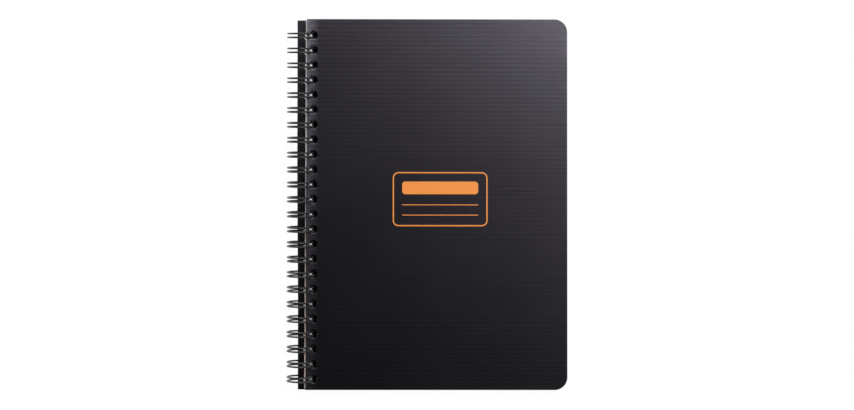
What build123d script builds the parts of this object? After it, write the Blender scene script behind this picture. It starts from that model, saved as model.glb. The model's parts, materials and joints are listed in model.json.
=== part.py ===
"""A wire-bound A5 address book: two plastic covers, an A to Z index of leaves and one twin-loop wire.

The book lies closed on its back, spine towards -X and head towards +Y, with the origin under its middle.
Every sheet turns about the middle of the loops. Levels are measured square to the sheets from that axis.
"""

import math
import os

from build123d import *

os.makedirs("parts", exist_ok=True)

# Covers: plastic sheets, square at the spine and rounded at the fore-edge
cover_height = 210.0
cover_reach = 143.8  # from the row of holes to the fore-edge
cover_thickness = 0.6
cover_corner = 7.2
front_margin = 4.2  # from the row of holes to the spine edge
back_play = 0.3  # between the back cover's spine edge and the inside of the loops

# Leaves: each index section is a few leaves that share one tab
index_letters = ["ab", "cd", "ef", "gh", "ij", "kl", "mn", "op", "qr", "st", "uv", "wx", "yz"]
leaf_height = 208.0
leaf_width = 144.2
leaf_corner = 6.0
leaf_show = 0.9  # how far the leaves stand out past the front cover at the spine
end_show = 0.4  # how far the end leaf stands out past the others
leaf_hole_shift = 0.4  # how far the leaves' holes stand nearer to the spine than the front cover's
section_thickness = 0.46
title_thickness = 0.2
end_leaf_thickness = 0.3
tab_depth = 7.0
tab_chamfer = 2.0
sheet_gap = 0.08  # air between one sheet and the next

# Twin-loop wire: one length of wire bent into pairs of loops that close under the back cover
loop_pitch = 25.4 / 3
loop_diameter = 14.5  # at the middle of the wire
loop_flats = 16  # in a full turn
bend_flats = 2  # in a quarter turn
tip_flats = 3  # in a half turn
pair_spacing = 2.2  # between the two wires of a loop
wire_diameter = 1.0
bend_radius = 1.1  # where a loop turns into the run to the next
row_margin = 2.0  # least room between the row of loops and the head or tail
row_shift = -1.45  # the row stands a little nearer to the tail
back_seat = 0.6  # room inside the loops under the back cover

# Holes: a pair of wires passes through each
hole_play = 0.6  # room at each side of the pair
hole_sides = 12
wire_play = 0.1  # least room between the wire and a hole's edge

# The wire's square section and the leaves' square holes have the area of the round ones
square_of_round = math.sqrt(math.pi) / 2
wire_side = wire_diameter * square_of_round
hole_diameter = pair_spacing + wire_diameter + 2 * hole_play
leaf_hole = hole_diameter * square_of_round

# A loop's corners stand as far outside its round line as its flats stand inside
loop_step = 2 * math.pi / loop_flats
flat_share = math.cos(loop_step / 2)
loop_corner = loop_diameter / (1 + flat_share)
loop_inner = loop_corner * flat_share - wire_side / 2
loop_outer = loop_corner + wire_side / 2 / flat_share
axis_height = loop_corner + wire_side / 2
loop_count = int((min(cover_height, leaf_height) - 2 * row_margin) / loop_pitch)

# Half of the room that a hole leaves the pair of wires, along the sheet
pair_half = (pair_spacing + wire_side) / 2
hole_apothem = hole_diameter / 2 * math.cos(math.pi / hole_sides)
cover_room = math.sqrt(hole_apothem**2 - pair_half**2)
leaf_room = leaf_hole / 2


def hole_row(low, high, room, wanted):
    """Where the holes of a sheet between two levels stand: as wanted, if the wire has room there."""
    nearest = 0.0 if low < 0.0 < high else min(abs(low), abs(high))
    furthest = max(abs(low), abs(high))
    wire_near = math.sqrt(loop_inner**2 - furthest**2)
    wire_far = math.sqrt(loop_outer**2 - nearest**2)
    return max(wire_far + wire_play - room, min(wanted, wire_near - wire_play + room))


# Levels, from the back cover up
back_low = back_seat - loop_inner
end_low = back_low + cover_thickness + sheet_gap
index_low = end_low + end_leaf_thickness + sheet_gap
section_step = section_thickness + sheet_gap
title_low = index_low + len(index_letters) * section_step
front_low = title_low + title_thickness + sheet_gap
front_high = front_low + cover_thickness

# The front cover hangs as far out as the wire lets it, and the back cover as far in
front_row = hole_row(front_low, front_high, cover_room, loop_outer + cover_room)
back_row = hole_row(back_low, back_low + cover_thickness, cover_room, 0.0)
back_margin = back_row + math.sqrt((loop_inner - back_play) ** 2 - back_low**2)
leaf_row = front_row - leaf_hole_shift
leaf_edge = front_row - front_margin - leaf_show

# The sheets lean until the loops and the back cover's fore-edge both touch the ground
back_edge = back_row + cover_reach
lean = math.asin(axis_height / math.hypot(back_edge, back_low)) - math.atan(-back_low / back_edge)
lean_cos = math.cos(lean)
lean_sin = math.sin(lean)
fore_edge = (front_row + cover_reach) * lean_cos + front_high * lean_sin
axis_x = (loop_outer - fore_edge) / 2
sheet_plane = Plane((axis_x, 0, axis_height), (lean_cos, 0, -lean_sin), (lean_sin, 0, lean_cos))


def save(piece, name):
    piece.part.label = name
    export_step(piece.part, f"parts/{name}.step")


def cover(row, margin, low):
    """A cover from its level up, with round holes drawn as polygons."""
    with BuildPart() as sheet:
        with BuildSketch(sheet_plane.offset(low)) as outline:
            with Locations((row - margin, 0)):
                Rectangle(margin + cover_reach, cover_height, align=(Align.MIN, Align.CENTER))
            fillet(outline.vertices().group_by(Axis.X)[-1], cover_corner)
            with Locations((row, row_shift)):
                with GridLocations(loop_pitch, loop_pitch, 1, loop_count):
                    RegularPolygon(hole_diameter / 2, hole_sides, mode=Mode.SUBTRACT)
        extrude(amount=cover_thickness)
    return sheet


def leaf(edge, low, thickness, tab_height):
    """A leaf, or a few as one, from its spine edge, with its tab at the fore-edge reaching down from the head."""
    row = hole_row(low, low + thickness, leaf_room, leaf_row)
    with BuildPart() as sheet:
        with BuildSketch(sheet_plane.offset(low)) as outline:
            with Locations((edge, 0)):
                Rectangle(leaf_width - tab_depth, leaf_height, align=(Align.MIN, Align.CENTER))
            if tab_height:
                with Locations((edge, leaf_height / 2)):
                    Rectangle(leaf_width, tab_height, align=(Align.MIN, Align.MAX))
            head = outline.vertices().group_by(Axis.Y)[-1].sort_by(Axis.X)[-1]
            tail = outline.vertices().group_by(Axis.Y)[0].sort_by(Axis.X)[-1]
            fillet([head, tail], leaf_corner)
            if 0 < tab_height < leaf_height:
                step = outline.vertices().group_by(Axis.X)[-1].sort_by(Axis.Y)[0]
                chamfer(step, tab_chamfer)
            with Locations((row, row_shift)):
                with GridLocations(loop_pitch, loop_pitch, 1, loop_count):
                    Rectangle(leaf_hole, leaf_hole, mode=Mode.SUBTRACT)
        extrude(amount=thickness)
    return sheet


# One loop of the wire: half a run, a bend, round to the tip, and back the same way at the other side
def on_loop(turn, y):
    """A point of a loop, turned clockwise from the ground."""
    return Vector(-loop_corner * math.sin(turn), y, -loop_corner * math.cos(turn))


def loop_side(side):
    """Half of a loop, from the middle of its run to the start of its tip; side is -1 or 1."""
    ring_y = side * pair_spacing / 2
    points = [Vector(bend_radius, side * loop_pitch / 2, -loop_corner)]
    for flat in range(bend_flats):
        turn = math.pi / 2 * flat / bend_flats
        out = bend_radius * (1 - math.sin(turn))
        points.append(Vector(bend_radius * math.cos(turn), ring_y + side * out, -loop_corner))
    points += [on_loop(flat * loop_step, ring_y) for flat in range(loop_flats)]
    return points


tip_turn = (loop_flats - 1) * loop_step
tip_ahead = Vector(-math.cos(tip_turn), 0, math.sin(tip_turn))
tip_radius = pair_spacing / 2
tip_points = []
for flat in range(1, tip_flats):
    turn = math.pi * flat / tip_flats
    across = on_loop(tip_turn, -tip_radius * math.cos(turn))
    tip_points.append(across + tip_ahead * tip_radius * math.sin(turn))
loop_points = loop_side(-1) + tip_points + loop_side(1)[::-1]

with BuildPart() as loop:
    with BuildLine() as route:
        Polyline(*loop_points)
    with BuildSketch(Plane(route.line @ 0, x_dir=(1, 0, 0), z_dir=(0, 1, 0))):
        Rectangle(wire_side, wire_side)
    sweep(path=route.wire(), transition=Transition.RIGHT)

with BuildPart() as binding_wire:
    with Locations((axis_x, row_shift, axis_height)):
        with GridLocations(loop_pitch, loop_pitch, 1, loop_count):
            add(loop.part)


def wire_samples(spacing):
    """Points along one loop, each with its distance along the wire, and the loop's length."""
    samples = []
    along = 0.0
    for start, end in zip(loop_points, loop_points[1:]):
        length = (end - start).length
        steps = max(1, round(length / spacing))
        for step in range(steps):
            share = step / steps
            samples.append((along + length * share, tuple(start + (end - start) * share)))
        along += length
    return samples, along


def least_self_gap():
    """The least gap of a loop to itself and to the next one, leaving out what is near along the wire."""
    samples, length = wire_samples(wire_diameter / 4)
    following = [(along + length, (x, y + loop_pitch, z)) for along, (x, y, z) in samples]
    gaps = [
        math.dist(first, second)
        for along, first in samples
        for later, second in samples + following
        if later - along > 4 * wire_diameter
    ]
    return min(gaps) - wire_diameter


print("loops", loop_count, "least gap of the wire to itself", round(least_self_gap(), 3), "mm")

save(cover(back_row, back_margin, back_low), "back_cover")
save(leaf(leaf_edge - end_show, end_low, end_leaf_thickness, leaf_height), "end_leaf")
tab_height = leaf_height / len(index_letters)
for place, letters in enumerate(index_letters):
    level = index_low + (len(index_letters) - 1 - place) * section_step
    save(leaf(leaf_edge, level, section_thickness, (place + 1) * tab_height), f"section_{letters}")
save(leaf(leaf_edge, title_low, title_thickness, 0), "title_leaf")
save(cover(front_row, front_margin, front_low), "front_cover")
save(binding_wire, "binding_wire")
print("axis", round(axis_x, 3), round(axis_height, 3), "lean", round(math.degrees(lean), 3), "degrees")
print("hole rows", round(back_row, 3), round(leaf_row, 3), round(front_row, 3), "back margin", round(back_margin, 3))
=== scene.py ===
import json
import math
import random

import bmesh
import bpy
from mathutils import Matrix, Vector


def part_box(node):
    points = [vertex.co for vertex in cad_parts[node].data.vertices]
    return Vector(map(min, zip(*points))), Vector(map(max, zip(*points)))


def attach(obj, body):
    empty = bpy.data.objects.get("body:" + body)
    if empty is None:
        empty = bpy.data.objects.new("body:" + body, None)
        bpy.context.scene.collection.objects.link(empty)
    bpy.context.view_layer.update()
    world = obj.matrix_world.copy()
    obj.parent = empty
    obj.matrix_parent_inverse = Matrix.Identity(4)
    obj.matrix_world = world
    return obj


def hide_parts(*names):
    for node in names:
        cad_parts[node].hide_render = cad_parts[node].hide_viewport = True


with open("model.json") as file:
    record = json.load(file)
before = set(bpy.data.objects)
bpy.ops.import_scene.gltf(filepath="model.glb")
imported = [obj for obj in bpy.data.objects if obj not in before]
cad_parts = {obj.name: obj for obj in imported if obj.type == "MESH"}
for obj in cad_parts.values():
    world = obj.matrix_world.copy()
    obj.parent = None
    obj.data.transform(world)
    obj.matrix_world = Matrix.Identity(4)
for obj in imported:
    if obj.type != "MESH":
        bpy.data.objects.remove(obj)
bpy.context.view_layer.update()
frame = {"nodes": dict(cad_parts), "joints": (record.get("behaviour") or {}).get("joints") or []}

# The book's own axes, in mm from the middle of the loops: x to the fore-edge, y to the head,
# z up through the sheets
mmPerMetre = 1000
axisPoint = Vector(frame["joints"][0]["pos_m"])
frontFace = max(frame["nodes"]["front_cover"].data.polygons, key=lambda face: face.area)
lean = math.atan(frontFace.normal.x / frontFace.normal.z)
mmToMetres = Matrix.Scale(1 / mmPerMetre, 4)
bookToWorld = Matrix.Translation(axisPoint) @ Matrix.Rotation(lean, 4, "Y") @ mmToMetres
worldToBook = bookToWorld.inverted()

# Holes: one row through all the sheets
punching = {
    "pitch": 25.4 / 3,
    "count": 24,
    "shift": -1.45,  # the row stands a little nearer to the tail
    "frontRadius": 2.2,
    "backRadius": 2.4,  # the loops slant more where they pass the back cover
    "band": (0.5, 20.0),  # where the holes of a CAD sheet are, from its spine edge
}
holePlaces = [
    punching["shift"] + (k - (punching["count"] - 1) / 2) * punching["pitch"]
    for k in range(punching["count"])
]


def nodeSpan(node):
    # a CAD node's lowest and highest corners in the book's axes
    points = [worldToBook @ v.co for v in frame["nodes"][node].data.vertices]
    low = Vector([min(p[i] for p in points) for i in range(3)])
    high = Vector([max(p[i] for p in points) for i in range(3)])
    return low, high


def holeRow(node):
    # how far a sheet's row of holes stands from the loops' middle
    places = [(worldToBook @ v.co).x for v in frame["nodes"][node].data.vertices]
    edge = min(places)
    nearest, furthest = punching["band"]
    holes = [x for x in places if edge + nearest < x < edge + furthest]
    return (min(holes) + max(holes)) / 2


def vertsOf(geom):
    return [g for g in geom if isinstance(g, bmesh.types.BMVert)]


def allOf(bm):
    return bm.verts[:] + bm.edges[:] + bm.faces[:]


def addObject(name, data):
    made = bpy.data.objects.new(name, data)
    bpy.context.scene.collection.objects.link(made)
    return made


def finishPiece(bm, name, body, material, slot=None, toWorld=bookToWorld, sharpAngle=35):
    # takes the mesh to its place and ties it to its body; with a slot, it stands for the CAD node there
    bmesh.ops.transform(bm, matrix=toWorld, verts=bm.verts)
    for face in bm.faces:
        face.smooth = True
    mesh = bpy.data.meshes.new(name)
    bm.to_mesh(mesh)
    bm.free()
    mesh.set_sharp_from_angle(angle=math.radians(sharpAngle))
    mesh.materials.append(material)
    piece = addObject(name, mesh)
    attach(piece, body)
    if slot:
        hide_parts(body)


# Shader maths: expressions on Field values add Math nodes
class Field:
    def __init__(self, paint, socket):
        self.paint = paint
        self.socket = socket

    def __add__(self, other):
        return self.paint.maths("ADD", self, other)

    def __sub__(self, other):
        return self.paint.maths("SUBTRACT", self, other)

    def __rsub__(self, other):
        return self.paint.maths("SUBTRACT", other, self)

    def __mul__(self, other):
        return self.paint.maths("MULTIPLY", self, other)

    __radd__ = __add__
    __rmul__ = __mul__

    def beside(self, output):
        # another output of the same node
        return Field(self.paint, self.socket.node.outputs[output])


class Paint:
    def __init__(self, owner):
        owner.use_nodes = True
        self.owner = owner
        self.tree = owner.node_tree
        self.tree.nodes.clear()

    def node(self, kind, settings=None, sockets=None, output=0):
        # settings come first, then each socket's value or link
        made = self.tree.nodes.new(kind)
        for key, value in (settings or {}).items():
            setattr(made, key, value)
        for key, value in (sockets or {}).items():
            if isinstance(value, Field):
                self.tree.links.new(value.socket, made.inputs[key])
            else:
                made.inputs[key].default_value = value
        return Field(self, made.outputs[output]) if made.outputs else made

    def maths(self, operation, *values):
        return self.node("ShaderNodeMath", {"operation": operation}, dict(enumerate(values)))

    def place(self):
        # Object coordinates, as a vector in metres and as three values in mm
        spot = self.node("ShaderNodeTexCoord", output=3)
        split = self.node("ShaderNodeSeparateXYZ", None, {0: spot})
        return spot, [split.beside(i) * mmPerMetre for i in range(3)]

    def noise(self, spot, scale, detail, roughness=0.5):
        sockets = {"Vector": spot, "Scale": scale, "Detail": detail, "Roughness": roughness}
        return self.node("ShaderNodeTexNoise", {"noise_dimensions": "3D"}, sockets)

    def stretch(self, spot, scale):
        return self.node("ShaderNodeVectorMath", {"operation": "MULTIPLY"}, {0: spot, 1: scale})

    def ease(self, value, low, high):
        sockets = {"Value": value, "From Min": low, "From Max": high}
        return self.node("ShaderNodeMapRange", {"interpolation_type": "SMOOTHSTEP"}, sockets)

    def mix(self, factor, first, second):
        sockets = {"Factor": factor, 6: first, 7: second}
        return self.node("ShaderNodeMix", {"data_type": "RGBA"}, sockets, output=2)

    def bump(self, height, strength, distance):
        sockets = {"Strength": strength, "Distance": distance, "Height": height}
        return self.node("ShaderNodeBump", None, sockets)

    def surface(self, sockets):
        shader = self.node("ShaderNodeBsdfPrincipled", None, sockets)
        self.node("ShaderNodeOutputMaterial", None, {"Surface": shader})
        return self.owner


def shade(colour, share):
    return tuple(c * share for c in colour[:3]) + (1,)


# Print: shapes in ink, drawn by their distance in mm
inkEdge = 0.04  # half of the width over which an edge fades


def printed(paint, distance):
    # 1 inside a shape, 0 outside it
    return 1 - paint.ease(distance, -inkEdge, inkEdge)


def stroke(paint, distance, width):
    # 1 on a line of that width, 0 beside it
    aside = paint.maths("ABSOLUTE", distance)
    return 1 - paint.ease(aside, width / 2 - inkEdge, width / 2 + inkEdge)


def roundedBox(paint, across, along, half, corner):
    # distance from a rounded rectangle's edge, less than 0 inside it
    sideX = paint.maths("ABSOLUTE", across) - (half[0] - corner)
    sideY = paint.maths("ABSOLUTE", along) - (half[1] - corner)
    outX = paint.maths("MAXIMUM", sideX, 0)
    outY = paint.maths("MAXIMUM", sideY, 0)
    inside = paint.maths("MINIMUM", paint.maths("MAXIMUM", sideX, sideY), 0)
    return paint.maths("SQRT", outX * outX + outY * outY) + inside - corner


# Sheets: one flat face with its holes, then its thickness
sheetShape = {
    "cornerSteps": 10,
    "near": 0.01,  # how close to a line counts as on it, in mm
    "cutReach": 1e-5,
}


def roundCorners(bm, verts, radius, segments):
    bmesh.ops.bevel(bm, geom=verts, offset=radius, offset_type="OFFSET", segments=segments, profile=0.5,
                    affect="VERTICES", material=-1)


def cutAcross(bm, axis, place):
    normal = (1, 0, 0) if axis == "x" else (0, 1, 0)
    bmesh.ops.bisect_plane(bm, geom=allOf(bm), dist=sheetShape["cutReach"],
                           plane_co=[n * place for n in normal], plane_no=normal)


def addTab(bm, low, high, fore, tab):
    # grows the tab from the fore-edge, down from the head
    near = sheetShape["near"]
    step = high.y - tab["height"]
    stepped = step > low.y + near
    if stepped:
        cutAcross(bm, "y", step)
    edges = [
        e for e in bm.edges
        if min(v.co.x for v in e.verts) > fore - near and min(v.co.y for v in e.verts) > step - near
    ]
    grown = bmesh.ops.extrude_edge_only(bm, edges=edges)["geom"]
    bmesh.ops.translate(bm, vec=(tab["depth"], 0, 0), verts=vertsOf(grown))
    bmesh.ops.dissolve_faces(bm, faces=bm.faces[:], use_verts=False)
    if stepped:
        outer = [v for v in bm.verts if v.co.x > high.x - near and v.co.y < step + near]
        roundCorners(bm, outer, tab["chamfer"], 1)


def sheetFace(low, high, corner, tab=None):
    # the outline as one face, with its two corners at the fore-edge rounded
    bm = bmesh.new()
    near = sheetShape["near"]
    fore = high.x - (tab["depth"] if tab else 0)
    bmesh.ops.create_grid(bm, x_segments=1, y_segments=1, size=0.5)
    bmesh.ops.scale(bm, vec=(fore - low.x, high.y - low.y, 1), verts=bm.verts)
    bmesh.ops.translate(bm, vec=((low.x + fore) / 2, (low.y + high.y) / 2, 0), verts=bm.verts)
    if tab:
        addTab(bm, low, high, fore, tab)
    head = max((v for v in bm.verts if v.co.y > high.y - near), key=lambda v: v.co.x)
    tail = max((v for v in bm.verts if v.co.y < low.y + near), key=lambda v: v.co.x)
    roundCorners(bm, [head, tail], corner, sheetShape["cornerSteps"])
    return bm


def punch(bm, row, radius, sides, turn=0.0, stretch=1.0):
    # opens the row of holes in the face and returns each hole's centre and ring of vertices
    bmesh.ops.delete(bm, geom=bm.faces[:], context="FACES_ONLY")
    form = Matrix.Diagonal((stretch, 1, 1, 1)) @ Matrix.Rotation(turn, 4, "Z")
    rings = []
    for y in holePlaces:
        centre = Vector((row, y, 0))
        place = Matrix.Translation(centre) @ form
        circle = bmesh.ops.create_circle(bm, cap_ends=False, segments=sides, radius=radius, matrix=place)
        rings.append((centre, circle["verts"]))
    bmesh.ops.triangle_fill(bm, use_beauty=True, use_dissolve=False, edges=bm.edges[:], normal=(0, 0, 1))
    return rings


def narrowRing(bm, centre, verts, share):
    # grows a ring of faces from a hole's edge towards its centre
    inRing = set(verts)
    edges = {e for v in verts for e in v.link_edges if e.other_vert(v) in inRing}
    grown = bmesh.ops.extrude_edge_only(bm, edges=list(edges))["geom"]
    inner = vertsOf(grown)
    bmesh.ops.scale(bm, vec=(share, share, 1), verts=inner, space=Matrix.Translation(-centre))
    return inner


def thicken(bm, thickness):
    # a second face above the first, with walls between
    grown = bmesh.ops.extrude_face_region(bm, geom=bm.faces[:])["geom"]
    upper = vertsOf(grown)
    bmesh.ops.translate(bm, vec=(0, 0, thickness), verts=upper)
    bmesh.ops.recalc_face_normals(bm, faces=bm.faces[:])
    return upper


# Covers: ribs across the outer side, pressed hole rims, and a front spine margin that lifts a little
coverShape = {
    "corner": 7.2,
    "holeSides": 28,
    "ribPitch": 2.494,
    "ribStart": -0.4,
    "grooveDepth": 0.0041,
    "grooveHalf": 0.30,
    "grooveSteps": (-1.0, -0.5, 0.0, 0.5, 1.0),
    "ribCrown": 0.0010,
    "ribMargin": 0.02,  # no cut comes nearer to the head or tail
    "rimWidth": 0.32,
    "rimDepth": 0.24,
    "rimRings": 4,
    "liftFrom": 3.2,  # from the hole row towards the fore-edge
    "liftHeight": 0.50,
    "liftPower": 1.6,
    "liftCuts": 9,
    # the spine edges are trimmed a little unevenly: they stand in at the front's head and the back's tail
    "frontTrim": {"depth": 0.45, "from": 7.0, "to": 33.0},
    "backTrim": {"depth": 0.57, "from": 30.0, "to": -70.0},
}

# Satin black polypropylene with a plain printed name panel on the front
coverLook = {
    "black": (0.00043, 0.00043, 0.00043, 1),
    # painted light: the back cover is the front's black made lighter, for the light on its shaded strip by
    # the spine
    "litBackBlack": (0.0030, 0.0030, 0.0030, 1),
    "blackRange": (0.8, 1.2),
    "roughness": 0.235,
    "sheen": 0.62,
    "sheenTint": (0.90, 0.83, 1.0, 1),
    "grain": {"scale": 5200, "detail": 2.0},  # a grain a fifth of a millimetre across
    "grainBump": 0.05,
    "grainDepth": 0.00002,  # metres
    "haze": {"scale": 18.0, "detail": 3.0},
    "hazeRoughness": 0.03,
    "wear": {"scale": 60.0, "detail": 4.0},
    "wearStretch": (1, 6, 1),
    "wearRoughness": 0.02,
    # painted highlight: lighter stripes along the ribs' shoulders stand for the light the ribs catch
    "ribHighlight": 0.0009,  # how much lighter the plastic is along the ribs' shoulders
    "ribHighlightPlace": -0.3,  # from the middle of a groove
    "ribHighlightHalf": 0.75,
    "sideFade": 0.1,  # from the inner side to the outer one, through the sheet
    "panelInk": (0.90, 0.27, 0.002, 1),
    "panelRoughness": 0.42,
    "panelOffset": (2.0, 2.9),  # from the cover's centre
    "panelHalf": (26.5, 15.0),
    "panelCorner": 3.0,
    "panelLine": 0.7,
    "bandHalf": (21.5, 3.6),
    "bandCorner": 1.8,
    "bandRise": 6.4,
    "ruleHalf": (21.5, 0.225),
    "ruleCorner": 0.1,
    "rulePlaces": (-3.2, -9.0),
}


def panelInk(paint, across, along):
    # a frame, a band for a name and two writing lines
    look = coverLook
    border = roundedBox(paint, across, along, look["panelHalf"], look["panelCorner"])
    ink = stroke(paint, border, look["panelLine"])
    band = roundedBox(paint, across, along - look["bandRise"], look["bandHalf"], look["bandCorner"])
    ink = paint.maths("MAXIMUM", ink, printed(paint, band))
    for place in look["rulePlaces"]:
        rule = roundedBox(paint, across, along - place, look["ruleHalf"], look["ruleCorner"])
        ink = paint.maths("MAXIMUM", ink, printed(paint, rule))
    return ink


def coverMaterial(name, black, sheetLevel, outward, panelCentre=None):
    # sheetLevel is the sheet's middle in the book's axes; outward is 1 if its outer side faces up, else -1
    look = coverLook
    paint = Paint(bpy.data.materials.new(name))
    spot, (x, y, z) = paint.place()
    grain = paint.noise(spot, **look["grain"])
    haze = paint.noise(spot, **look["haze"])
    wear = paint.noise(paint.stretch(spot, look["wearStretch"]), **look["wear"])
    roughness = look["roughness"] + (haze - 0.5) * look["hazeRoughness"]
    roughness = roughness + (wear - 0.5) * look["wearRoughness"]
    darker, lighter = look["blackRange"]
    colour = paint.mix(haze, shade(black, darker), shade(black, lighter))
    axis = axisPoint * mmPerMetre
    level = (x - axis.x) * math.sin(lean) + (z - axis.z) * math.cos(lean)
    outside = paint.ease((level - sheetLevel) * outward, -look["sideFade"], look["sideFade"])
    # painted highlight along the ribs' shoulders, on the outer side only
    highlightStart = coverShape["ribStart"] + look["ribHighlightPlace"]
    fromHighlight = paint.maths("PINGPONG", y - highlightStart, coverShape["ribPitch"] / 2)
    highlighted = tuple(c + look["ribHighlight"] for c in black[:3]) + (1,)
    colour = paint.mix((1 - paint.ease(fromHighlight, 0, look["ribHighlightHalf"])) * outside, colour, highlighted)
    if panelCentre:
        ink = panelInk(paint, x - panelCentre[0], y - panelCentre[1]) * outside
        colour = paint.mix(ink, colour, look["panelInk"])
        roughness = roughness + ink * (look["panelRoughness"] - look["roughness"])
    return paint.surface({
        "Base Color": colour,
        "Roughness": roughness,
        "Specular IOR Level": look["sheen"],
        "Specular Tint": look["sheenTint"],
        "Normal": paint.bump(grain, look["grainBump"], look["grainDepth"]),
    })


def easeStep(share):
    share = min(max(share, 0.0), 1.0)
    return share * share * (3 - 2 * share)


def ribLevel(y):
    # how far the ribbed side lies under its crown
    shape = coverShape
    phase = (y - shape["ribStart"]) / shape["ribPitch"]
    fromGroove = abs(phase - round(phase)) * shape["ribPitch"]
    groove = easeStep(1 - fromGroove / shape["grooveHalf"])
    crown = (1 - 2 * fromGroove / shape["ribPitch"]) ** 2
    return groove * shape["grooveDepth"] + crown * shape["ribCrown"]


def rimLevel(spot, row, outer):
    # how far a hole's pressed rim lies under the flat
    nearest = min(holePlaces, key=lambda y: abs(y - spot.y))
    inward = (outer - math.hypot(spot.x - row, spot.y - nearest)) / coverShape["rimWidth"]
    inward = min(max(inward, 0.0), 1.0)
    return coverShape["rimDepth"] * (1 - math.sqrt(1 - inward * inward))


def ribCuts(low, high):
    shape = coverShape
    first = math.ceil((low - shape["ribStart"]) / shape["ribPitch"]) - 1
    last = math.floor((high - shape["ribStart"]) / shape["ribPitch"]) + 1
    cuts = []
    for rib in range(first, last + 1):
        middle = shape["ribStart"] + rib * shape["ribPitch"]
        cuts += [middle + step * shape["grooveHalf"] for step in shape["grooveSteps"]]
        cuts.append(middle + shape["ribPitch"] / 2)
    return [y for y in cuts if low + shape["ribMargin"] < y < high - shape["ribMargin"]]


def makeCover(name, node, material, holeRadius, trim, isFront):
    # the front's ribs face up and its spine margin lifts; the back's ribs face down
    shape = coverShape
    low, high = nodeSpan(node)
    row = holeRow(node)
    bm = sheetFace(low, high, shape["corner"])
    outer = holeRadius + shape["rimWidth"]
    rings = punch(bm, row, outer, shape["holeSides"])
    # the plain part beside the holes becomes one face before the ribs are cut
    plainFrom = row + shape["liftFrom"]
    cutAcross(bm, "x", plainFrom)
    plain = [f for f in bm.faces if f.calc_center_median().x > plainFrom]
    bmesh.ops.dissolve_faces(bm, faces=plain, use_verts=False)
    for centre, verts in rings:
        radius = outer
        for ring in range(1, shape["rimRings"] + 1):
            turn = math.pi / 2 * ring / shape["rimRings"]
            narrower = outer - shape["rimWidth"] * math.sin(turn)
            verts = narrowRing(bm, centre, verts, narrower / radius)
            radius = narrower
    if isFront:
        for k in range(1, shape["liftCuts"]):
            cutAcross(bm, "x", low.x + (plainFrom - low.x) * k / shape["liftCuts"])
    for y in ribCuts(low.y, high.y):
        cutAcross(bm, "y", y)
    upper = set(thicken(bm, high.z - low.z))
    for v in bm.verts:
        drop = 0.0
        if (v in upper) == isFront:
            drop = ribLevel(v.co.y) + rimLevel(v.co, row, outer)
        v.co.z += low.z + (-drop if isFront else drop)
        inMargin = max(0.0, 1 - (v.co.x - low.x) / (row - outer - low.x))
        trimmed = easeStep((v.co.y - trim["from"]) / (trim["to"] - trim["from"]))
        v.co.x += trim["depth"] * inMargin * trimmed
        if isFront and v.co.x < plainFrom:
            lifted = (plainFrom - v.co.x) / (plainFrom - low.x)
            v.co.z += shape["liftHeight"] * lifted ** shape["liftPower"]
    print(name, len(bm.faces), "faces")
    finishPiece(bm, name, node, material, "cover")


frontLow, frontHigh = nodeSpan("front_cover")
backLow, backHigh = nodeSpan("back_cover")
frontMiddle = bookToWorld @ ((frontLow + frontHigh) / 2)
panelCentre = [c * mmPerMetre + shift for c, shift in zip(frontMiddle, coverLook["panelOffset"])]
frontLevel = (frontLow.z + frontHigh.z) / 2
backLevel = (backLow.z + backHigh.z) / 2
frontPlastic = coverMaterial("frontPlastic", coverLook["black"], frontLevel, 1, panelCentre)
# the back cover takes the lighter black: painted light on its strip by the spine
backPlastic = coverMaterial("backPlastic", coverLook["litBackBlack"], backLevel, -1)
makeCover("frontCover", "front_cover", frontPlastic, punching["frontRadius"], coverShape["frontTrim"], True)
makeCover("backCover", "back_cover", backPlastic, punching["backRadius"], coverShape["backTrim"], False)

# Leaves: each index section is a few leaves that share a tab
leafShape = {
    "corner": 6.0,
    "hole": (4.5, 4.5),
    "holeGrowth": (0.07, 0.04),  # from one section to the next below it, as the loops slant more there
    "endHole": (6.2, 5.0),
    "holeCorner": 0.7,
    "holeCornerSteps": 3,
    "leavesPerSection": 4,
    "leafGap": 0.02,
    "unevenness": 0.08,
    # how the loose leaves lie on the wire, in mm towards the fore-edge and in degrees
    "lay": {"settle": 0.54, "turn": -0.13},
    "endLay": {"settle": 0.68, "turn": -0.285},
    "tabDepth": 7.0,
    "tabChamfer": 2.0,
    "textSize": 4.2,
    "textInset": 3.4,
    "textRelief": 0.006,
    "textMerge": 1e-4,
    "pageMargin": 8.0,
    "headMargin": 14.0,
    # the lines for the owner's own entry on the title leaf
    "titleLines": 6,
    "titlePitch": 11.0,
    "titleTop": 20.0,
}
indexLetters = ["ab", "cd", "ef", "gh", "ij", "kl", "mn", "op", "qr", "st", "uv", "wx", "yz"]
shuffle = random.Random(11)

paperLook = {
    "white": (0.86, 0.855, 0.835, 1),
    "orange": (0.80, 0.22, 0.035, 1),
    "toneRange": (0.955, 1.025),
    "fibre": {"scale": 900, "detail": 5.0, "roughness": 0.65},
    "fibreStretch": (1, 2.4, 1),
    "fibreBump": 0.12,
    "fibreDepth": 0.00005,  # metres
    "cloud": {"scale": 45.0, "detail": 3.0},
    "roughness": 0.86,
    "roughnessRange": 0.1,
    "specular": 0.3,
    "line": (0.36, 0.36, 0.42, 1),
    "linePitch": 7.5,
    "lineWidth": 0.18,
    "lineStrength": 0.6,
    "entryLines": 4,
    "entryWidth": 0.4,
    "columnShare": 0.64,
    "ruledReach": 0.3,  # past the first and last line, so that they are whole
    "ruledFade": 0.05,
}


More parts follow.
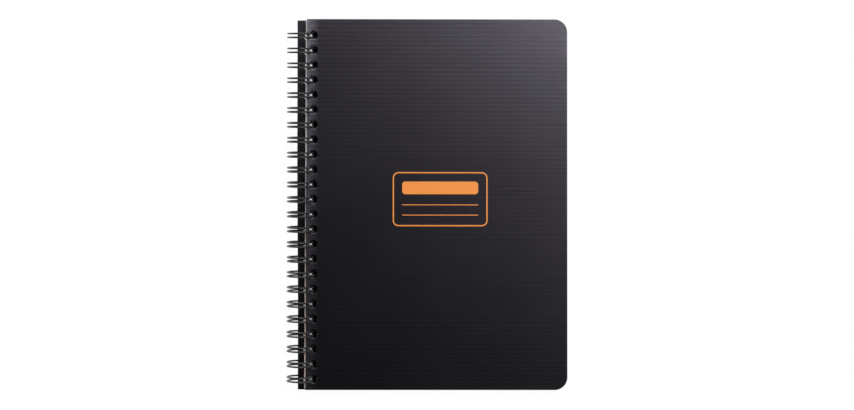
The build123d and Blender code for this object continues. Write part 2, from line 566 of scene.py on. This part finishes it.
def paperMaterial(name, tone, ruling=None):
    # ruling: its box in mm along the world's axes, the pitch, the lines to an entry and the column's place
    look = paperLook
    paint = Paint(bpy.data.materials.new(name))
    spot, (x, y, _) = paint.place()
    fibre = paint.noise(paint.stretch(spot, look["fibreStretch"]), **look["fibre"])
    cloud = paint.noise(spot, **look["cloud"])
    darker, lighter = look["toneRange"]
    colour = paint.mix((fibre + cloud) * 0.5, shade(tone, darker), shade(tone, lighter))
    if ruling:
        (left, bottom), (right, top) = ruling["box"]
        halfWidth = (right - left) / 2
        halfHeight = (top - bottom) / 2 + look["ruledReach"]
        fade = look["ruledFade"]
        aside = paint.maths("ABSOLUTE", x - (left + right) / 2)
        away = paint.maths("ABSOLUTE", y - (bottom + top) / 2)
        inWidth = 1 - paint.ease(aside, halfWidth - fade, halfWidth + fade)
        inHeight = 1 - paint.ease(away, halfHeight - fade, halfHeight + fade)
        fromTop = top - y
        entry = ruling["pitch"] * ruling["entryLines"]
        lines = stroke(paint, paint.maths("PINGPONG", fromTop, ruling["pitch"] / 2), look["lineWidth"])
        bars = stroke(paint, paint.maths("PINGPONG", fromTop, entry / 2), look["entryWidth"])
        ink = paint.maths("MAXIMUM", lines * look["lineStrength"], bars)
        if ruling["column"]:
            column = stroke(paint, x - ruling["column"], look["lineWidth"])
            ink = paint.maths("MAXIMUM", ink, column * look["lineStrength"])
        colour = paint.mix(ink * (inWidth * inHeight), colour, look["line"])
    return paint.surface({
        "Base Color": colour,
        "Roughness": look["roughness"] + (fibre - 0.5) * look["roughnessRange"],
        "Specular IOR Level": look["specular"],
        "Normal": paint.bump(fibre, look["fibreBump"], look["fibreDepth"]),
    })


inkLook = {
    "dark": (0.020, 0.019, 0.020, 1),
    "light": (0.035, 0.034, 0.036, 1),
    "speck": {"scale": 2200, "detail": 2.0},
    "roughness": 0.7,
    "roughnessRange": 0.1,
}


def inkMaterial():
    paint = Paint(bpy.data.materials.new("tabInk"))
    spot, _ = paint.place()
    speck = paint.noise(spot, **inkLook["speck"])
    return paint.surface({
        "Base Color": paint.mix(speck, inkLook["dark"], inkLook["light"]),
        "Roughness": inkLook["roughness"] + (speck - 0.5) * inkLook["roughnessRange"],
    })


def settleOn(bm, lay):
    bmesh.ops.rotate(bm, verts=bm.verts, matrix=Matrix.Rotation(math.radians(lay["turn"]), 3, "Z"))
    bmesh.ops.translate(bm, vec=(lay["settle"], 0, 0), verts=bm.verts)


def makeLeaves(name, node, material, slot, lay, hole, leaves=1, tabHeight=0):
    shape = leafShape
    low, high = nodeSpan(node)
    tab = None
    if tabHeight:
        tab = {"depth": shape["tabDepth"], "height": tabHeight, "chamfer": shape["tabChamfer"]}
    thickness = (high.z - low.z - (leaves - 1) * shape["leafGap"]) / leaves
    bm = sheetFace(low, high, shape["corner"], tab)
    rings = punch(bm, holeRow(node), hole[1] / math.sqrt(2), 4, math.pi / 4, hole[0] / hole[1])
    holeCorners = [v for _, verts in rings for v in verts]
    roundCorners(bm, holeCorners, shape["holeCorner"], shape["holeCornerSteps"])
    thicken(bm, thickness)
    single = allOf(bm)
    bmesh.ops.translate(bm, vec=(0, 0, low.z), verts=bm.verts)
    for k in range(1, leaves):
        copied = bmesh.ops.duplicate(bm, geom=single)["geom"]
        offset = [shuffle.uniform(-1, 1) * shape["unevenness"] for _ in range(2)]
        bmesh.ops.translate(bm, vec=(*offset, k * (thickness + shape["leafGap"])), verts=vertsOf(copied))
    settleOn(bm, lay)
    finishPiece(bm, name, node, material, slot)


def tabLetters(letters, body, ink, centre, top, bottom):
    # the section's letters on both sides of its tab, a hair proud of the paper
    bm = bmesh.new()
    for level, turn in ((top, 0), (bottom, math.pi)):
        text = bpy.data.curves.new("letters", "FONT")
        text.body = letters.upper()
        text.size = leafShape["textSize"]
        text.align_x = "CENTER"
        text.align_y = "CENTER"
        text.extrude = leafShape["textRelief"]
        holder = bpy.data.objects.new("letters", text)
        mesh = bpy.data.meshes.new_from_object(holder)
        mesh.transform(Matrix.Translation((*centre, level)) @ Matrix.Rotation(turn, 4, "Y"))
        bm.from_mesh(mesh)
        bpy.data.objects.remove(holder)
        bpy.data.curves.remove(text)
        bpy.data.meshes.remove(mesh)
    bmesh.ops.remove_doubles(bm, verts=bm.verts[:], dist=leafShape["textMerge"])
    settleOn(bm, leafShape["lay"])
    finishPiece(bm, "letters" + letters.capitalize(), body, ink)


def ruledBox(node, width):
    # the ruled part of a page of that width, in mm along the world's axes
    low, high = nodeSpan(node)
    shape = leafShape
    left = 2 * holeRow(node) - low.x + shape["pageMargin"] / 2
    right = low.x + width - shape["pageMargin"]
    bottom = low.y + shape["pageMargin"]
    lines = math.floor((high.y - shape["headMargin"] - bottom) / paperLook["linePitch"])
    lines -= lines % paperLook["entryLines"]
    start = axisPoint.x * mmPerMetre
    return (start + left, bottom), (start + right, bottom + lines * paperLook["linePitch"])


titleLow, titleHigh = nodeSpan("title_leaf")
pageBox = ruledBox("section_mn", titleHigh.x - titleLow.x)
pageLeft = pageBox[0][0]
pageRight = pageBox[1][0]
ruledPaper = paperMaterial("ruledPaper", paperLook["white"], {
    "box": pageBox,
    "pitch": paperLook["linePitch"],
    "entryLines": paperLook["entryLines"],
    "column": pageLeft + (pageRight - pageLeft) * paperLook["columnShare"],
})
titleBottom = leafShape["titleTop"] - leafShape["titleLines"] * leafShape["titlePitch"]
titlePaper = paperMaterial("titlePaper", paperLook["white"], {
    "box": ((pageLeft, titleBottom), (pageRight, leafShape["titleTop"])),
    "pitch": leafShape["titlePitch"],
    "entryLines": leafShape["titleLines"],
    "column": None,
})
orangeCard = paperMaterial("orangeCard", paperLook["orange"])
tabInk = inkMaterial()

makeLeaves("titleLeaf", "title_leaf", titlePaper, "paper", leafShape["lay"], leafShape["hole"])
makeLeaves("endLeaf", "end_leaf", orangeCard, "end_card", leafShape["endLay"], leafShape["endHole"])
tabStep = (titleHigh.y - titleLow.y) / len(indexLetters)
for place, letters in enumerate(indexLetters):
    node = "section_" + letters
    low, high = nodeSpan(node)
    hole = [side + place * growth for side, growth in zip(leafShape["hole"], leafShape["holeGrowth"])]
    makeLeaves("section" + letters.capitalize(), node, ruledPaper, "paper", leafShape["lay"], hole,
               leafShape["leavesPerSection"], (place + 1) * tabStep)
    middle = (high.x - leafShape["textInset"], high.y - (place + 0.5) * tabStep)
    tabLetters(letters, node, tabInk, middle, high.z, low.z)
print("leaves:", len(indexLetters), "sections of", leafShape["leavesPerSection"])

# Binding wire: half a loop is spun from the wire's round section, mirrored and repeated along the spine
wireShape = {
    "radius": 0.5,
    "sides": 12,
    "loopRadius": 7.25,
    "pairSpacing": 2.2,
    "bendRadius": 1.1,
    "tipTurn": 337.5,  # from the run round to the start of the tip, in degrees
    "bendSteps": 6,
    "loopSteps": 44,
    "lean": 1.3,  # how far a loop's top stands towards the tail, over its bottom
    "merge": 1e-3,
    "sharpAngle": 60,
}

wireLook = {
    "dark": (0.007, 0.007, 0.008, 1),
    "light": (0.014, 0.014, 0.015, 1),
    "coat": {"scale": 900, "detail": 3.0},
    "drawn": {"scale": 4000, "detail": 1.0},
    "drawnBump": 0.08,
    "drawnDepth": 0.00002,  # metres
    "roughness": 0.30,
    "roughnessRange": 0.1,
    "specular": 0.5,
    "coatWeight": 0.5,
    "coatRoughness": 0.2,
}


def wireMaterial():
    look = wireLook
    paint = Paint(bpy.data.materials.new("nylonCoatedWire"))
    spot, _ = paint.place()
    coat = paint.noise(spot, **look["coat"])
    drawn = paint.noise(spot, **look["drawn"])
    return paint.surface({
        "Base Color": paint.mix(coat, look["dark"], look["light"]),
        "Roughness": look["roughness"] + (coat - 0.5) * look["roughnessRange"],
        "Specular IOR Level": look["specular"],
        "Coat Weight": look["coatWeight"],
        "Coat Roughness": look["coatRoughness"],
        "Normal": paint.bump(drawn, look["drawnBump"], look["drawnDepth"]),
    })


def spinOn(bm, ends, centre, axis, angle, steps):
    made = bmesh.ops.spin(bm, geom=ends, cent=centre, axis=axis, angle=angle, steps=steps,
                          use_duplicate=False)
    return made["geom_last"]


def makeWire():
    shape = wireShape
    pitch = punching["pitch"]
    side = shape["pairSpacing"] / 2
    bend = shape["bendRadius"]
    radius = shape["loopRadius"]
    tipTurn = math.radians(shape["tipTurn"])
    bm = bmesh.new()
    start = Matrix.Translation((bend, -pitch / 2, -radius)) @ Matrix.Rotation(math.pi / 2, 4, "X")
    bmesh.ops.create_circle(bm, cap_ends=False, segments=shape["sides"], radius=shape["radius"],
                            matrix=start)
    grown = bmesh.ops.extrude_edge_only(bm, edges=bm.edges[:])["geom"]
    ends = [g for g in grown if not isinstance(g, bmesh.types.BMFace)]
    bmesh.ops.translate(bm, vec=(0, pitch / 2 - side - bend, 0), verts=vertsOf(ends))
    # the bend, the loop and half of its tip
    ends = spinOn(bm, ends, (0, -side - bend, -radius), (0, 0, 1), math.pi / 2, shape["bendSteps"])
    ends = spinOn(bm, ends, (0, 0, 0), (0, 1, 0), tipTurn, shape["loopSteps"])
    tip = Vector((-radius * math.sin(tipTurn), 0, -radius * math.cos(tipTurn)))
    spinOn(bm, ends, tip, tip.normalized(), math.pi / 2, shape["bendSteps"])
    bmesh.ops.mirror(bm, geom=allOf(bm), axis="Y", merge_dist=shape["merge"])
    single = allOf(bm)
    for k in range(1, punching["count"]):
        copied = bmesh.ops.duplicate(bm, geom=single)["geom"]
        bmesh.ops.translate(bm, vec=(0, k * pitch, 0), verts=vertsOf(copied))
    bmesh.ops.translate(bm, vec=(0, holePlaces[0], 0), verts=bm.verts)
    bmesh.ops.remove_doubles(bm, verts=bm.verts[:], dist=shape["merge"])
    bmesh.ops.holes_fill(bm, edges=[e for e in bm.edges if e.is_boundary], sides=0)
    for v in bm.verts:
        v.co.y -= v.co.z / (2 * radius) * shape["lean"]
    bmesh.ops.recalc_face_normals(bm, faces=bm.faces[:])
    print("bindingWire", len(bm.faces), "faces")
    # the loops stand upright on the ground, so the sheets' lean is left out
    toWorld = Matrix.Translation(axisPoint) @ mmToMetres
    finishPiece(bm, "bindingWire", "binding_wire", wireMaterial(), "wire", toWorld, shape["sharpAngle"])


makeWire()

# Studio: a white floor that keeps the shadow, a dark ceiling, a long tube above the head
# and a low softbox at the right
studio = {
    "tube": {"place": (0.293, 0.352, 1.422), "size": (1.6, 0.1), "watts": 13.6},
    "softbox": {"place": (0.9, 0.49, 0.6), "size": (1.6, 1.6), "watts": 4.4},
    "floorSize": 8.0,
    "floorColour": (0.9, 0.9, 0.9, 1),
    "floorWhite": 1.03,  # how bright the camera sees the floor
    "floorShadow": 0.08,  # how much of the floor's shade the camera sees
    # painted shade: beside the loops the floor keeps only this share of its white
    "underHoles": 0.55,  # how much of the floor's white is seen through the holes
    "shadeShift": 6.0,  # where that shade lies, in mm from the row of loops to the fore-edge
    "shadeFade": 4.0,
    "shadeCorner": 1.0,
    "fill": 0.33,
    "horizon": 0.35,
    "zenith": 0.004,
    "horizonHeight": 0.9,
}
white = (1, 1, 1, 1)


def makeFloor():
    bm = bmesh.new()
    bmesh.ops.create_grid(bm, x_segments=1, y_segments=1, size=studio["floorSize"] / 2)
    mesh = bpy.data.meshes.new("floor")
    bm.to_mesh(mesh)
    bm.free()
    addObject("floor", mesh)
    paint = Paint(bpy.data.materials.new("whiteFloor"))
    shaded = paint.node("ShaderNodeBsdfDiffuse", None, {"Color": studio["floorColour"]})
    bright = paint.node("ShaderNodeEmission", None, {"Color": white, "Strength": studio["floorWhite"]})
    # painted shade on the floor beside the loops, seen through the holes; the wire never moves, so it is
    # right at every pose
    _, (x, y, _) = paint.place()
    low, high = [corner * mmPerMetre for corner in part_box("binding_wire")]
    middle = (low + high) / 2
    half = (high - low) / 2
    across = x - middle.x - studio["shadeShift"]
    offRow = roundedBox(paint, across, y - middle.y, half, studio["shadeCorner"])
    paintedShade = (1 - paint.ease(offRow, -studio["shadeFade"], 0)) * (1 - studio["underHoles"])
    # camera, mirror and glass rays see the white floor
    rays = paint.node("ShaderNodeLightPath")
    seen = rays.beside("Is Camera Ray")
    for name in ("Is Glossy Ray", "Is Transmission Ray"):
        seen = paint.maths("MAXIMUM", seen, rays.beside(name))
    factor = seen * (1 - studio["floorShadow"]) * (1 - paintedShade)
    mixed = paint.node("ShaderNodeMixShader", None, {0: factor, 1: shaded, 2: bright})
    paint.node("ShaderNodeOutputMaterial", None, {"Surface": mixed})
    mesh.materials.append(paint.owner)


def makeWorld():
    # white to the camera, a dark ceiling in the gloss, and an even fill for the rest
    world = bpy.data.worlds.new("studio")
    bpy.context.scene.world = world
    paint = Paint(world)
    direction = paint.node("ShaderNodeTexCoord", output=0)
    height = paint.node("ShaderNodeSeparateXYZ", None, {0: direction}).beside(2)
    rise = paint.ease(height, 0.0, studio["horizonHeight"])
    mirrored = studio["horizon"] + rise * (studio["zenith"] - studio["horizon"])
    rays = paint.node("ShaderNodeLightPath")
    level = studio["fill"] + rays.beside("Is Glossy Ray") * (mirrored - studio["fill"])
    strength = level + rays.beside("Is Camera Ray") * (1 - level)
    background = paint.node("ShaderNodeBackground", None, {"Color": white, "Strength": strength})
    paint.node("ShaderNodeOutputWorld", None, {"Surface": background})


def makeLamp(name):
    lamp = bpy.data.lights.new(name, "AREA")
    lamp.shape = "RECTANGLE"
    lamp.size, lamp.size_y = studio[name]["size"]
    lamp.energy = studio[name]["watts"]
    holder = addObject(name, lamp)
    holder.location = studio[name]["place"]
    holder.rotation_euler = (-holder.location).to_track_quat("-Z", "Y").to_euler()
    holder.visible_camera = False


makeFloor()
makeWorld()
makeLamp("tube")
makeLamp("softbox")
print("studio ready")

# Camera: straight above the book, as far as the loops' perspective asks
photo = {
    "width": 854,
    "height": 410,
    "mmPerPixel": 0.5663,
    "distance": 1.6,
    "bookCentre": (426.85, 204.3),  # the middle of the whole book's outline, in pixels
    "roll": 0.04,  # degrees
    "pitch": 1.7,  # degrees; the camera stands a little towards the tail
    "sensor": 36.0,
    "clipStart": 0.01,
}


def makeCamera():
    lens = bpy.data.cameras.new("camera")
    pixel = photo["mmPerPixel"] / mmPerMetre
    lens.sensor_width = photo["sensor"]
    lens.lens = photo["sensor"] * photo["distance"] / (photo["width"] * pixel)
    lens.clip_start = photo["clipStart"]
    camera = addObject("camera", lens)
    offsetX = (photo["width"] / 2 - photo["bookCentre"][0]) * pixel
    offsetY = (photo["bookCentre"][1] - photo["height"] / 2) * pixel
    aim = Matrix.Translation((offsetX, offsetY, frontMiddle.z))
    pitch = Matrix.Rotation(math.radians(photo["pitch"]), 4, "X")
    roll = Matrix.Rotation(math.radians(photo["roll"]), 4, "Z")
    camera.matrix_world = aim @ pitch @ roll @ Matrix.Translation((0, 0, photo["distance"]))
    bpy.context.scene.camera = camera


makeCamera()
bpy.context.scene.view_settings.view_transform = "Standard"
print("camera ready")
